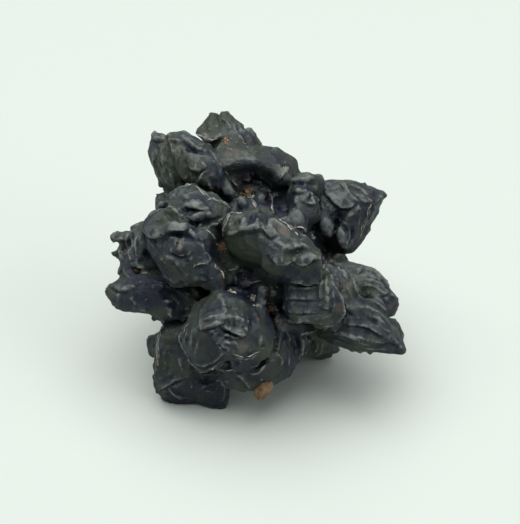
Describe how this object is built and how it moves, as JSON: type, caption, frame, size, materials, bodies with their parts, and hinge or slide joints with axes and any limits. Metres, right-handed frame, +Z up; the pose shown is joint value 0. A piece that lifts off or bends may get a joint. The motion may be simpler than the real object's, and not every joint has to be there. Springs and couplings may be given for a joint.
{
  "type": "marcasite nodule",
  "caption": "Spiny nodule of dark weathered crystal: blunt faceted spires and lumps grown outwards from one middle, standing on four worn tips.",
  "frame": {"origin": "centre of the bounding box at the level of the worn tips, on the surface that the nodule rests on", "axes": "+Z up, +X along the nodule's longest extent towards the longest spire, the show side faces -Y and up"},
  "size_m": [0.0502, 0.0436, 0.0384],
  "materials": {
    "weathered_marcasite": "satin"
  },
  "bodies": {
    "root": {"nodule": "weathered_marcasite"}
  },
  "joints": []
}
